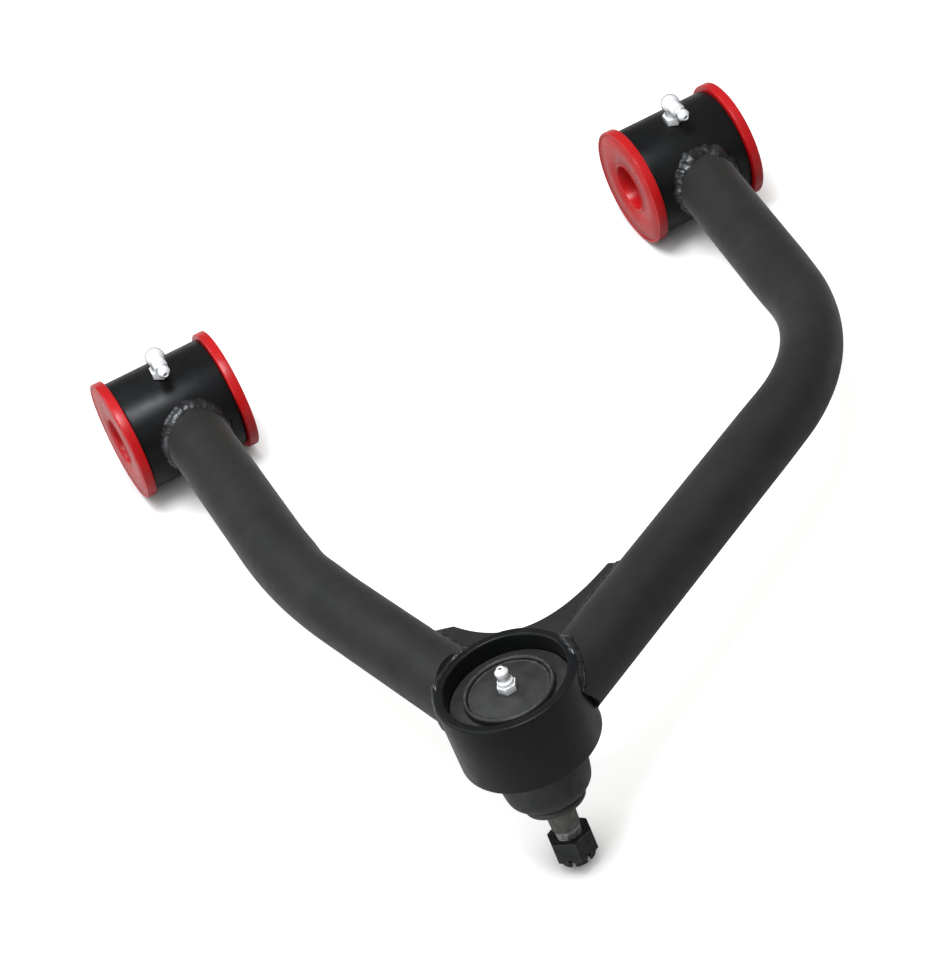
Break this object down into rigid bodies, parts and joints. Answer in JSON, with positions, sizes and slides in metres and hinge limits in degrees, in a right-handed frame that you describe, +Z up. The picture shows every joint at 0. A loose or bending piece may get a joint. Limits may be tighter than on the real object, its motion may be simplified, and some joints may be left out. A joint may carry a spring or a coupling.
{
  "type": "suspension control arm",
  "caption": "Tubular upper suspension control arm with greasable flanged pivot bushings and a press-in ball joint with dust boot, tapered stud and castle nut.",
  "frame": {"origin": "on the floor, under the middle of the arm's box; the pivot axis runs 160 mm behind it and 31.75 mm above it", "axes": "+X along the pivot axis from the front to the rear bushing, -Y towards the ball joint, +Z up; the arm rests on its bushing flanges and its castle nut"},
  "size_m": [0.3626, 0.3835, 0.1061],
  "materials": {
    "arm_paint": "satin black powder coat",
    "red_polyurethane": "smooth moulded polyurethane",
    "dark_plate": "matt dark coated steel",
    "zinc": "bright zinc plate",
    "steel": "machined",
    "dark_steel": "black phosphate",
    "nylon": "natural nylon",
    "boot_rubber": "matt black rubber"
  },
  "bodies": {
    "arm": {"barrel_front": "arm_paint", "barrel_rear": "arm_paint", "tube_front": "arm_paint", "tube_rear": "arm_paint", "ball_joint_cup": "arm_paint", "gusset_plate": "arm_paint", "bushing_front_left": "red_polyurethane", "bushing_front_right": "red_polyurethane", "bushing_rear_left": "red_polyurethane", "bushing_rear_right": "red_polyurethane", "grease_fitting_front": "zinc", "grease_fitting_rear": "zinc", "grease_fitting_ball_joint": "zinc", "check_spring_front": "steel", "check_spring_rear": "steel", "check_spring_ball_joint": "steel", "ball_joint_housing": "dark_plate", "cover_plate": "dark_plate", "pressure_spring": "steel", "boot_ring_upper": "dark_steel"},
    "front_sleeve": {"sleeve_front": "steel"},
    "rear_sleeve": {"sleeve_rear": "steel"},
    "front_check": {"check_ball_front": "steel"},
    "rear_check": {"check_ball_rear": "steel"},
    "ball_joint_check": {"check_ball_ball_joint": "steel"},
    "socket_liner": {"bearing_upper": "nylon", "bearing_lower": "nylon"},
    "boot_mouth": {"dust_boot": "boot_rubber", "boot_ring_lower": "dark_steel"},
    "stud": {"ball_stud": "dark_steel"},
    "nut": {"castle_nut": "dark_steel"}
  },
  "joints": [
    {"name": "front_pivot", "type": "hinge", "parent": "arm", "child": "front_sleeve", "pos_m": [-0.1496, 0.16, 0.03175], "axis": [1, 0, 0], "continuous": true},
    {"name": "rear_pivot", "type": "hinge", "parent": "arm", "child": "rear_sleeve", "pos_m": [0.1496, 0.16, 0.03175], "axis": [1, 0, 0], "continuous": true},
    {"name": "ball_swivel", "type": "hinge", "parent": "arm", "child": "socket_liner", "pos_m": [-0.11119, -0.15704, 0.07549], "axis": [-0.0658, 0.1971, 0.9782], "continuous": true},
    {"name": "ball_lean", "type": "hinge", "parent": "socket_liner", "child": "boot_mouth", "pos_m": [-0.11119, -0.15704, 0.07549], "axis": [-0.9534, 0.277, -0.1199], "range_deg": [-33, 16], "deforming": ["dust_boot"]},
    {"name": "stud_spin", "type": "hinge", "parent": "boot_mouth", "child": "stud", "pos_m": [-0.11119, -0.15704, 0.07549], "axis": [-0.0218, 0.3332, 0.9426], "continuous": true},
    {"name": "nut_turn", "type": "hinge", "parent": "stud", "child": "nut", "pos_m": [-0.10982, -0.17799, 0.0162], "axis": [-0.0218, 0.3332, 0.9426], "continuous": true},
    {"name": "front_check_valve", "type": "slide", "parent": "arm", "child": "front_check", "axis": [0.0499, 0.9988, 0], "range_m": [0, 0.0008], "stiffness_N_per_m": 5, "springref_m": -0.0004, "deforming": ["check_spring_front"]},
    {"name": "rear_check_valve", "type": "slide", "parent": "arm", "child": "rear_check", "axis": [-0.0499, 0.9988, 0], "range_m": [0, 0.0008], "stiffness_N_per_m": 5, "springref_m": -0.0004, "deforming": ["check_spring_rear"]},
    {"name": "ball_joint_check_valve", "type": "slide", "parent": "arm", "child": "ball_joint_check", "axis": [0.0658, -0.1971, -0.9782], "range_m": [0, 0.0008], "stiffness_N_per_m": 5, "springref_m": -0.0004, "deforming": ["check_spring_ball_joint"]}
  ]
}
